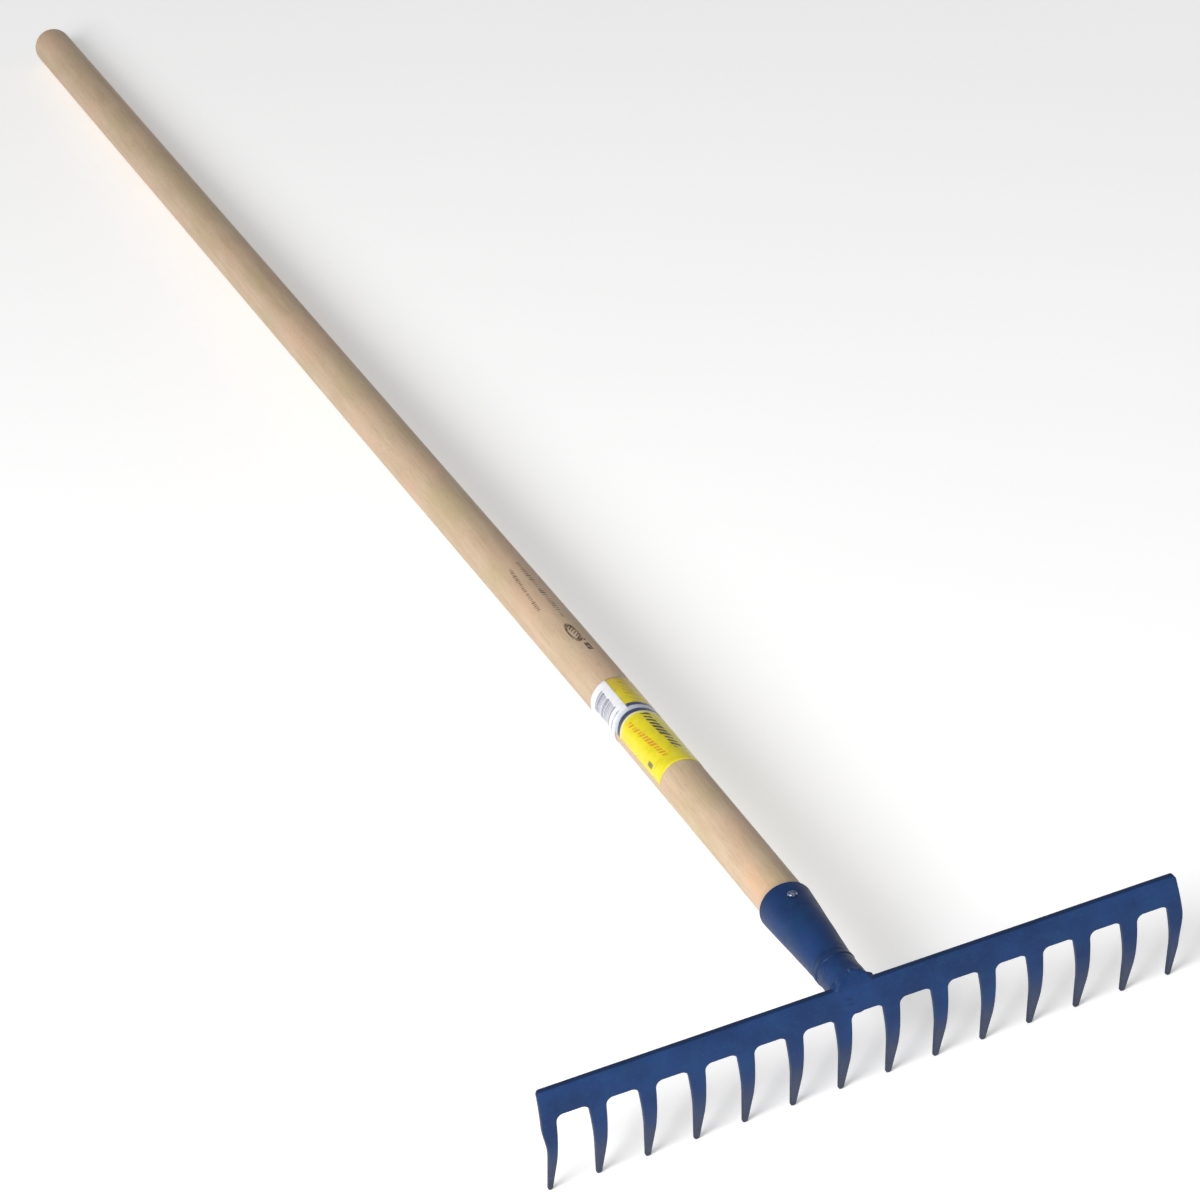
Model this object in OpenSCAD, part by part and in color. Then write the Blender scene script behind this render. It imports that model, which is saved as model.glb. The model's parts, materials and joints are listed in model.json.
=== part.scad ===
// Garden rake with a straight socket: a curved-tooth comb, a welded neck and
// socket, and a round wooden handle. It lies at rest on its tooth tips and on
// the butt of the handle. +Y runs from the comb to the butt, +X along the comb.

/* [Handle] */
// Diameter of the round handle
handle_d = 28; // [24:0.5:34]
// Length of the wooden handle, with the stretch that is inside the socket
handle_len = 1500; // [1100:10:1800]
// Diameter of the handle where it enters the socket
handle_mouth_d = 26.4; // [22:0.1:28]
// Distance from the comb at which the handle starts to taper
taper_start = 410; // [200:10:600]
// How far the tapered end of the handle is bent down at the mouth
handle_drop = 1.5; // [0:0.1:4]
// How far the tapered end of the handle is bent to the -X side at the mouth
handle_side = 1.5; // [0:0.1:4]
// Radius of the rounding at the butt
butt_round = 10.5; // [4:0.5:12]
// Distance from the back of the comb to the butt of the handle
reach = 1550; // [1150:10:1850]

/* [Socket] */
// Distance from the back of the comb to the mouth of the socket
mouth_reach = 92; // [70:1:140]
// Outer diameter of the socket at its mouth
mouth_d = 29.7; // [28:0.1:34]
// Thickness of the rolled socket sheet
socket_wall = 1.4; // [1:0.1:2]
// Width of the open seam
seam_w = 0.8; // [0.4:0.1:2]
// Where the seam runs, in degrees from the top towards +X
seam_angle = 84; // [60:1:180]
// How far the seam's corners are cut back at the mouth
seam_corner = 7; // [2:0.5:12]

/* [Neck] */
// Outer diameter of the neck tube
neck_d = 22.8; // [18:0.2:26]
// Wall of the neck tube
neck_wall = 3; // [2:0.5:5]
// Thickness of the neck's closed end behind the comb
neck_end = 4; // [3:0.5:8]
// Distance from the back of the comb to the joint of neck and socket
neck_len = 23.5; // [15:0.5:60]
// How far the neck sits below the line of the handle
neck_drop = 1.5; // [0:0.1:4]
// How far the neck sits to the -X side of the line of the handle
neck_side = 4.1; // [1:0.1:6]

/* [Comb] */
// Width of the comb along its top edge
comb_w = 360; // [250:5:450]
// How much wider the comb is at the root of its end teeth
end_flare = 2.4; // [0:0.2:6]
// Number of teeth
tooth_count = 14; // [8:1:18]
// Distance between two teeth
pitch = 27.3; // [20:0.1:32]
// Thickness of the steel plate
plate_t = 3.6; // [2.5:0.1:6]
// Height of the comb's top edge above the line of the handle
comb_top = 3.7; // [0:0.1:12]
// Height of the plain bar above the gaps
bar_h = 15.3; // [12:0.1:24]
// Height of the comb from its top edge to its tips
comb_h = 71; // [60:0.5:100]
// Backward lean of the bar at its top edge, in degrees
bar_lean = 16.5; // [8:0.5:20]
// Radius of the bend that carries the bar into the teeth
bend_r = 66; // [50:1:100]
// Forward hook of the tooth tips, in degrees
tooth_hook = 25.5; // [18:0.5:35]
// Width of a tooth at its root
tooth_root_w = 8.8; // [6:0.2:12]
// Width of a tooth at its tip
tooth_tip_w = 2.2; // [1.6:0.2:4]
// Thickness of a tooth at its tip
tooth_tip_t = 2.4; // [1.6:0.2:3.4]
// Radius of the two corners at the top of a gap
gap_corner = 4; // [2:0.5:6]
// Radius of the bar's top corners
bar_corner = 2; // [1:0.5:6]

/* [Welds and nail] */
// How far the weld ring stands proud where socket and neck meet
socket_bead = 0.9; // [0.5:0.1:2]
// Radius of the bead that joins neck and comb
bar_bead = 2.2; // [2:0.1:3.5]
// Distance from the mouth of the socket to the nail
nail_inset = 11.7; // [8:0.1:25]
// Where the nail is, in degrees from the top towards +X
nail_angle = 1; // [-60:1:60]
// Diameter of the nail's head
nail_head_d = 5.6; // [4:0.2:9]
// Diameter of the nail's shank
nail_d = 2.8; // [2:0.1:4]
// Length of the nail's shank
nail_len = 17; // [10:1:20]

/* [Labels] */
// Distance from the comb to the near end of the wrapped label
label_from = 240; // [150:5:400]
// Length of the wrapped label along the handle
label_len = 106; // [60:2:160]
// Angle at which the wrapped label starts, from the top towards +X
label_start = -81; // [-120:1:0]
// Angle that the wrapped label covers
label_sweep = 250; // [120:5:320]
// Thickness of each label
label_t = 0.13; // [0.1:0.01:0.3]
// Length of the code sticker along the handle
sticker_len = 38; // [20:1:60]
// Angle at which the code sticker starts, from the top towards +X
sticker_start = -113; // [-160:1:-40]
// Angle that the code sticker covers
sticker_sweep = 98; // [40:2:140]

/* [Hidden] */
$fn = 96;
eps = 0.01;
handle_r = handle_d / 2;
mouth_r = mouth_d / 2;
neck_r = neck_d / 2;
handle_mouth_r = handle_mouth_d / 2;

// Three straight runs follow each other: the pole, its tapered and slightly
// bent end, and the socket. Each aims at the start of the next.
handle_at = [0, taper_start, 0];
mouth_at = [-handle_side, mouth_reach, -handle_drop];
neck_at = [-neck_side, neck_len, -neck_drop];
taper_len = norm(mouth_at - handle_at);
socket_len = norm(neck_at - mouth_at);
socket_taper = (mouth_r - neck_r) / socket_len;
plug_len = mouth_reach - (reach - handle_len);
joint_gap = 1.2;
step = 0.08;
lip_slope = 55;
bore_gap = 0.05;

// Side view of the comb, as (y, z): one bend from the top edge, then tapered
// tips. The back of the plate passes through y = 0 at the top edge.
bend_mid = [(bend_r - plate_t / 2) * cos(bar_lean), comb_top - bend_r * sin(bar_lean)];
bend_to = bend_mid - bend_r * [cos(tooth_hook), sin(tooth_hook)];
tip_r = tooth_tip_t / 2;
tip_z = comb_top - comb_h + tip_r;
tip_y = bend_to[0] + (bend_to[1] - tip_z) * tan(tooth_hook);

// The front face at the top edge, and the back face at the height of the neck's axis.
lip_y = bend_mid[0] - sqrt(pow(bend_r + plate_t / 2, 2) - pow(comb_top - bend_mid[1], 2));
weld_y = bend_mid[0] - sqrt(pow(bend_r - plate_t / 2, 2) - pow(neck_drop + bend_mid[1], 2));

// Front view of the comb.
gap_top = comb_top - bar_h;
root_z = gap_top - gap_corner;
tip_round_z = comb_top - comb_h + tooth_tip_w / 2;
flare_z = gap_top - 8;
end_root_z = gap_top - 22;
end_root_half = 1.6;
end_tooth_x = (tooth_count - 1) / 2 * pitch;

// The lean that sets the tips and the butt on one floor, and the floor itself.
butt_y = reach - butt_round;
butt_z = butt_round - handle_r;
drop_z = tip_z - butt_z;
drop_y = butt_y - tip_y;
lean = asin((tip_r - butt_round) / sqrt(drop_z * drop_z + drop_y * drop_y)) - atan2(drop_z, drop_y);
floor_z = tip_z * cos(lean) - tip_y * sin(lean) - tip_r;
front_y = bend_mid[0] * cos(lean) + bend_mid[1] * sin(lean) - bend_r - plate_t / 2;
back_y = butt_y * cos(lean) - butt_z * sin(lean) + butt_round;

wood = [0.86, 0.75, 0.60];
blue = [0.16, 0.27, 0.46];
blue_weld = [0.13, 0.22, 0.38];
steel = [0.62, 0.64, 0.66];
yellow = [0.95, 0.87, 0.10];
white = [0.92, 0.92, 0.94];

// Sets a shape that is drawn along the level handle onto the floor.
module lying()
    translate([0, -(front_y + back_y) / 2, -floor_z]) rotate([-lean, 0, 0]) children();

// Turns a shape drawn along +Z so that it runs along the handle, comb to butt.
module along_handle(y) translate([0, y, 0]) rotate([-90, 0, 0]) children();

// Turns a shape drawn along +Z so that it runs from one point towards another.
module aimed(from, to) {
    d = to - from;
    translate(from) rotate([90 + atan2(-d[2], norm([d[0], d[1]])), 0, atan2(d[0], -d[1])])
        children();
}

module down_taper() aimed(handle_at, mouth_at) children();

module down_socket() aimed(mouth_at, neck_at) children();

// Places a shape drawn along +Z on the axis of the neck, with z = 0 at the joint.
module down_neck() translate(neck_at) rotate([90, 0, 0]) children();

// A cone frustum inside the socket, grow wider than its outer face.
module socket_cone(from, to, grow)
    translate([0, 0, from])
        cylinder(h = to - from, r1 = mouth_r + grow - socket_taper * from,
                 r2 = mouth_r + grow - socket_taper * to);

// Radius of the tapered end at a distance s from where the taper starts.
function taper_r(s) = handle_r - step - (handle_r - step - handle_mouth_r) * s / taper_len;

// Nail direction: outwards from the axis of the socket, at the nail's own angle.
module at_nail()
    down_socket() translate([0, 0, nail_inset]) rotate([0, 0, -nail_angle]) rotate([-90, 0, 0])
        children();

// Everything that the nail takes out of the sheet and the wood.
module nail_solid(grow) {
    seat = mouth_r - socket_taper * nail_inset;
    at_nail() {
        translate([0, 0, seat - nail_len]) cylinder(h = nail_len + 0.3, d = nail_d + grow);
        translate([0, 0, seat - nail_len - nail_d])
            cylinder(h = nail_d, r1 = 0.3, r2 = (nail_d + grow) / 2);
    }
}

module handle() {
    color(wood) lying() difference() {
        union() {
            along_handle(0) rotate_extrude() union() {
                translate([0, taper_start]) square([handle_r, butt_y - taper_start]);
                translate([0, butt_y - 1]) square([handle_r - butt_round, butt_round + 1]);
                intersection() {
                    translate([handle_r - butt_round, butt_y]) circle(butt_round);
                    translate([0, butt_y]) square([handle_r, butt_round]);
                }
            }
            down_taper() translate([0, 0, -2])
                cylinder(h = taper_len + 2, r1 = taper_r(-2), r2 = handle_mouth_r);
            down_socket() socket_cone(-2, plug_len, handle_mouth_r - mouth_r - 3 * step);
        }
        nail_solid(bore_gap);
    }
}

module socket() {
    color(blue) lying() difference() {
        down_socket() difference() {
            socket_cone(0, socket_len - joint_gap, 0);
            socket_cone(-1, socket_len + 1, -socket_wall);
            rotate([0, 0, -seam_angle]) rotate([-90, 0, 0]) linear_extrude(2 * mouth_r)
                polygon([[seam_corner, 1], [seam_w / 2, -seam_corner],
                         [seam_w / 2, -socket_len - 1], [-seam_w / 2, -socket_len - 1],
                         [-seam_w / 2, -seam_corner], [-seam_corner, 1]]);
        }
        nail_solid(bore_gap);
    }
}

// The neck is closed at the comb, and a low lip of it laps over the top edge.
module neck() {
    color(blue) lying() difference() {
        down_neck() cylinder(h = neck_len - lip_y, r = neck_r);
        down_neck() translate([0, 0, -1])
            cylinder(h = neck_len - neck_end + 1, r = neck_r - neck_wall);
        along_comb() difference() {
            translate([-comb_h, -comb_h]) square([comb_h + neck_end, comb_h + comb_top]);
            translate(bend_mid) circle(bend_r - plate_t / 2, $fn = 180);
        }
        translate([-comb_w, lip_y, comb_top]) rotate([lip_slope, 0, 0])
            translate([0, -neck_d, 0]) cube([2 * comb_w, 3 * neck_d, neck_d]);
    }
}

// Extrudes a (y, z) outline along X, past both ends of the comb.
module along_comb()
    translate([-comb_w, 0, 0]) rotate([90, 0, 90]) linear_extrude(2 * comb_w) children();

// The comb's side view as a bar along X.
module comb_side() {
    across = [cos(tooth_hook), sin(tooth_hook)];
    start = bend_to + eps * [-across[1], across[0]];
    along_comb() {
        intersection() {
            translate(bend_mid) difference() {
                circle(bend_r + plate_t / 2, $fn = 180);
                circle(bend_r - plate_t / 2, $fn = 180);
            }
            polygon([bend_mid, bend_mid - 2 * bend_r * [cos(bar_lean + 9), -sin(bar_lean + 9)],
                     bend_mid - 2 * bend_r * across]);
        }
        polygon([start - plate_t / 2 * across, [tip_y, tip_z] - tip_r * across,
                 [tip_y, tip_z] + tip_r * across, start + plate_t / 2 * across]);
        translate([tip_y, tip_z]) circle(tip_r);
    }
}

// One gap between two teeth, open at the bottom.
module gap_outline() {
    root_half = (pitch - tooth_root_w) / 2;
    tip_half = (pitch - tooth_tip_w) / 2;
    polygon([[-root_half, root_z], [-tip_half, tip_round_z], [-tip_half, tip_round_z - comb_h],
             [tip_half, tip_round_z - comb_h], [tip_half, tip_round_z], [root_half, root_z]]);
    translate([gap_corner - root_half, root_z - 1])
        square([2 * (root_half - gap_corner), gap_corner + 1]);
    for (side = [-1, 1])
        translate([side * (root_half - gap_corner), root_z]) circle(gap_corner);
}

// The comb's front view without its gaps: bar, flared ends and end teeth.
module comb_outline() {
    right = [[comb_w / 2, comb_top], [(comb_w + end_flare) / 2, flare_z],
             [end_tooth_x + end_root_half, end_root_z],
             [end_tooth_x + tooth_tip_w / 2, tip_round_z],
             [end_tooth_x + tooth_tip_w / 2, comb_top - comb_h - 1]];
    polygon(concat(right, [for (i = [len(right) - 1:-1:0]) [-right[i][0], right[i][1]]]));
}

// What rounds a corner: a square whose inner corner is cut out by a circle.
module corner_waste(r, side_x, side_y)
    difference() {
        translate([side_x > 0 ? 0 : -2 * r, side_y > 0 ? 0 : -2 * r]) square(2 * r);
        circle(r);
    }

module tooth_bar() {
    color(blue) lying() intersection() {
        comb_side();
        rotate([90, 0, 0]) translate([0, 0, -comb_h]) linear_extrude(2 * comb_h) difference() {
            comb_outline();
            for (k = [0:tooth_count - 2])
                translate([(k - tooth_count / 2 + 1) * pitch, 0]) gap_outline();
            for (k = [0:tooth_count - 1], side = [-1, 1])
                translate([k * pitch - end_tooth_x, tip_round_z])
                    corner_waste(tooth_tip_w / 2, side, -1);
            for (side = [-1, 1])
                translate([side * (comb_w / 2 - bar_corner), comb_top - bar_corner])
                    corner_waste(bar_corner, side, 1);
        }
    }
}

module socket_weld() {
    color(blue_weld) lying() difference() {
        down_neck() rotate_extrude() translate([neck_r - socket_bead, 0]) circle(2 * socket_bead);
        down_neck() cylinder(h = 10, r = neck_r);
        down_socket() socket_cone(0, socket_len - joint_gap, 0);
    }
}

module bar_weld() {
    color(blue_weld) lying() intersection() {
        down_neck() translate([0, 0, neck_len - weld_y]) difference() {
            rotate_extrude() translate([neck_r, 0]) circle(bar_bead);
            translate([0, 0, -5]) cylinder(h = 10, r = neck_r);
        }
        along_comb() intersection() {
            translate(bend_mid) circle(bend_r - plate_t / 2, $fn = 180);
            translate([-comb_h, -comb_h]) square([2 * comb_h, comb_h + comb_top]);
        }
    }
}

module handle_nail() {
    seat = mouth_r - socket_taper * nail_inset;
    color(steel) lying() union() {
        nail_solid(0);
        at_nail() intersection() {
            translate([0, 0, seat - 2 * nail_head_d + 1.1]) sphere(r = 2 * nail_head_d, $fn = 64);
            translate([0, 0, seat]) cylinder(h = 2, d = nail_head_d);
        }
    }
}

// A thin shell on the tapered end, from the angle a over the angle sweep. Its
// far end is at the distance far from the comb.
module wrapped(far, len, a, sweep, base) {
    s = taper_start - far;
    r1 = taper_r(s) + base;
    r2 = taper_r(s + len) + base;
    down_taper() translate([0, 0, s]) intersection() {
        difference() {
            cylinder(h = len, r1 = r1 + label_t, r2 = r2 + label_t);
            translate([0, 0, -len]) cylinder(h = 3 * len, r1 = 2 * r1 - r2, r2 = 2 * r2 - r1);
        }
        translate([0, 0, -1]) linear_extrude(len + 2)
            polygon(concat([[0, 0]], [for (i = [0:6]) 3 * handle_r *
                [sin(a + sweep * i / 6), cos(a + sweep * i / 6)]]));
    }
}

module label() {
    color(yellow) lying() wrapped(label_from + label_len, label_len, label_start, label_sweep, 0);
}

module code_sticker() {
    color(white) lying() wrapped(label_from + label_len, sticker_len, sticker_start,
                                 sticker_sweep, label_t);
}

handle();
socket();
neck();
tooth_bar();
socket_weld();
bar_weld();
handle_nail();
label();
code_sticker();
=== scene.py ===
"""Garden rake: looks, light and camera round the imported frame.

Shapes are worked out in millimetres along the handle: y runs from the back of the comb to the butt, x along
the comb and z up. LIE then turns them into metres in the frame, where the rake lies on its tips and its butt.
"""
import json
import math

import bmesh
import bpy
import numpy as np
from mathutils import Matrix, Quaternion, Vector, noise


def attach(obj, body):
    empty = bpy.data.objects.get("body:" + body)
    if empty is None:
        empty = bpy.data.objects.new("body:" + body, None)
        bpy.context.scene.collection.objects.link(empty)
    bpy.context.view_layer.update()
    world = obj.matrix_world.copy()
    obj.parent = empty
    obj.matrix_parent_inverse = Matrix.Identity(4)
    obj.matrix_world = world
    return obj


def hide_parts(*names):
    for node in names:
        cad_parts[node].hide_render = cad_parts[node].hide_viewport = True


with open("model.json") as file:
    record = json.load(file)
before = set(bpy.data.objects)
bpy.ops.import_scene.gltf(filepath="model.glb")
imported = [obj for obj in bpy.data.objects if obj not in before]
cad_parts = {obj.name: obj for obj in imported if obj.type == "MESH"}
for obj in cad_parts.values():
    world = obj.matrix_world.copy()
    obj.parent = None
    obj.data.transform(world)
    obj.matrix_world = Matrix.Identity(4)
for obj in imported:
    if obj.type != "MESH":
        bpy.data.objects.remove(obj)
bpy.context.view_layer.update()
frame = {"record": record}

MM = 0.001
TAU = math.tau
# A distance in mm for points that are to count as far from any edge.
NO_EDGE = 9.0

# ---------------------------------------------------------------- the handle's own axes
# GRIP_Y is the middle of the record's grip mount, in mm along the handle from y = 0 at the comb's back.
GRIP_Y = 974.75
grip = frame["record"]["mounts"][0]
ALONG = Vector(grip["axis"]).normalized()
ACROSS = Vector((1, 0, 0))
UP = ACROSS.cross(ALONG)
LEAN = math.atan2(-ALONG.z, ALONG.y)
HOME = Vector(grip["pos_m"]) - ALONG * GRIP_Y * MM
LIE = np.array([[ACROSS[i], ALONG[i], UP[i]] for i in range(3)]) * MM


def lie(points):
    """Millimetres along the handle to metres in the frame."""
    return np.asarray(points, float).reshape(-1, 3) @ LIE.T + np.array(HOME)


# ---------------------------------------------------------------- sizes, as in the frame, in mm
# The handle: radii, then places along it. PLUG is its end inside the socket.
POLE_R, MOUTH_POLE_R, PLUG_POLE_R = 14.0, 13.2, 12.3
POLE_END, TAPER_Y, MOUTH_Y, PLUG_Y = 1550.0, 410.0, 92.0, 52.0
BUTT_ROUND, PLUG_GAP = 10.5, 0.25

# The socket runs from its mouth to the neck. SOCKET_SET is how far its left side stands out at the mouth, and
# SEAM_CUT how far the seam's edges are cut back there.
MOUTH_AT = np.array([-1.5, MOUTH_Y, -1.5])
NECK_AT = np.array([-4.1, 23.5, -1.5])
MOUTH_R, NECK_R, WALL = 14.85, 11.4, 1.4
SOCKET_REACH, SOCKET_SET = 67.35, 1.05
SEAM_DEG, SEAM_HALF, SEAM_CORNER, SEAM_CUT = 84.0, 0.4, 7.0, 5.6
NAIL_INSET, NAIL_DEG, NAIL_HEAD_R, NAIL_R = 11.7, 1.0, 2.8, 1.4
NAIL_DENT, NAIL_DENT_R = 0.55, 3.4

# The comb: half its width, and heights down from its top edge; then the plate's side view and the teeth.
COMB_HALF, COMB_TOP, BAR_H, COMB_H = 180.0, 3.7, 15.3, 71.0
PLATE_T, TIP_T, EDGE_ROUND, BEND_R = 3.6, 2.4, 0.55, 66.0
BAR_LEAN, HOOK = math.radians(16.5), math.radians(25.5)
TEETH, PITCH, ROOT_HALF, TIP_HALF, GAP_CORNER = 14, 27.3, 4.5, 1.5, 4.0
CORNER_R = 2.0
GAP_TOP = COMB_TOP - BAR_H
ROOT_Z = GAP_TOP - GAP_CORNER
TIP_LOW = COMB_TOP - COMB_H
TIP_ROUND_Z = TIP_LOW + TIP_HALF
BEND_MID = np.array([(BEND_R - PLATE_T / 2) * math.cos(BAR_LEAN), COMB_TOP - BEND_R * math.sin(BAR_LEAN)])
ACROSS_TIP = np.array([math.cos(HOOK), math.sin(HOOK)])
BEND_TO = BEND_MID - BEND_R * ACROSS_TIP
TIP_Z = TIP_LOW + TIP_T / 2
TIP_AT = np.array([BEND_TO[0] + (BEND_TO[1] - TIP_Z) * math.tan(HOOK), TIP_Z])

# The labels: places along the handle, degrees round it from the top, and the thickness of their film.
LABEL_FROM, LABEL_TO, LABEL_A, LABEL_B = 240.0, 346.0, -81.0, 169.0
CODE_FROM, CODE_TO, CODE_A, CODE_B = 308.0, 346.0, -113.0, -15.0
FILM = 0.13


# ---------------------------------------------------------------- mesh helpers
def piece(name, points, faces, uv=None, rim=None):
    """A mesh object from points in mm.

    uv holds a (u, v) for each point, where v may run round the handle. rim holds a number for each point.
    """
    mesh = bpy.data.meshes.new(name)
    mesh.from_pydata([tuple(p) for p in lie(points)], [], [tuple(int(i) for i in f) for f in faces])
    if uv is not None:
        layer = mesh.uv_layers.new(name="Print")
        for face in mesh.polygons:
            around = [uv[mesh.loops[i].vertex_index][1] for i in face.loop_indices]
            split = max(around) - min(around) > 0.5
            for i, v in zip(face.loop_indices, around):
                layer.data[i].uv = (uv[mesh.loops[i].vertex_index][0], v + 1 if split and v < 0 else v)
    if rim is not None:
        mesh.attributes.new("rim", "FLOAT", "POINT").data.foreach_set("value", [float(r) for r in rim])
    return linked(name, mesh)


def linked(name, mesh):
    """Puts a mesh in the scene with joined points, outward faces and smooth shading."""
    bm = bmesh.new()
    bm.from_mesh(mesh)
    bmesh.ops.remove_doubles(bm, verts=bm.verts, dist=1e-7)
    bmesh.ops.recalc_face_normals(bm, faces=bm.faces)
    bm.to_mesh(mesh)
    bm.free()
    mesh.polygons.foreach_set("use_smooth", [True] * len(mesh.polygons))
    obj = bpy.data.objects.new(name, mesh)
    bpy.context.scene.collection.objects.link(obj)
    return obj


def grown(name, balls, voxel, steps):
    """Balls, as (centre, radius) in mm, grown together into one smooth and lumpy skin."""
    bm = bmesh.new()
    for centre, radius in balls:
        place = Matrix.Translation(lie(centre)[0])
        bmesh.ops.create_icosphere(bm, subdivisions=2, radius=radius * MM, matrix=place)
    mesh = bpy.data.meshes.new(name)
    bm.to_mesh(mesh)
    bm.free()
    obj = bpy.data.objects.new(name, mesh)
    bpy.context.scene.collection.objects.link(obj)
    skin = obj.modifiers.new("skin", "REMESH")
    skin.mode, skin.voxel_size, skin.use_smooth_shade = "VOXEL", voxel * MM, True
    flow = obj.modifiers.new("flow", "SMOOTH")
    flow.factor, flow.iterations = 0.5, steps
    return obj


def finish_piece(obj, material, node):
    """Gives a piece its material and its body, and hides the CAD node that it stands for."""
    obj.data.materials.clear()
    obj.data.materials.append(material)
    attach(obj, "root")
    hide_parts(node)


def grid_faces(rows, cols, first=0, wrap=False, flip=False):
    """Quads between rows of points; with wrap the last column joins the first."""
    faces = []
    for i in range(rows - 1):
        for j in range(cols if wrap else cols - 1):
            k = (j + 1) % cols
            low, top = first + i * cols, first + (i + 1) * cols
            quad = (low + j, low + k, top + k, top + j)
            faces.append(quad[::-1] if flip else quad)
    return faces


def sheet(middle, normal, half, edge_distance, edge_round):
    """A plate of rounded edges round a grid of middle points. Gives the points and the faces."""
    rows, cols = middle.shape[:2]
    r = np.minimum(edge_round, half)
    inside = np.clip(r - edge_distance, 0, r)
    lift = half - r + np.sqrt(np.maximum(r * r - inside * inside, 0))
    front = middle + normal * lift[..., None]
    back = middle - normal * lift[..., None]
    points = np.concatenate([front.reshape(-1, 3), back.reshape(-1, 3)])
    n = rows * cols
    faces = grid_faces(rows, cols) + grid_faces(rows, cols, n, flip=True)
    rim = [(0, j) for j in range(cols)] + [(i, cols - 1) for i in range(1, rows)]
    rim += [(rows - 1, j) for j in range(cols - 2, -1, -1)] + [(i, 0) for i in range(rows - 2, 0, -1)]
    ids = [i * cols + j for i, j in rim]
    for a, b in zip(ids, ids[1:] + ids[:1]):
        faces.append((b, a, a + n, b + n))
    return points, faces


def tube_faces(rows, cols):
    """A closed tube of rings with a fan over each end; the fan centres follow the rings."""
    faces = grid_faces(rows, cols, wrap=True)
    first, last = rows * cols, rows * cols + 1
    for j in range(cols):
        k = (j + 1) % cols
        faces.append((first, k, j))
        faces.append((last, (rows - 1) * cols + j, (rows - 1) * cols + k))
    return faces


def wobble(p, scale, seed=0.0):
    """Smooth noise from -1 to 1 at a point in mm; scale is the size of its features in mm."""
    return noise.noise(Vector((p[0] / scale + seed, p[1] / scale + 2.3 * seed, p[2] / scale - seed)))


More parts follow.
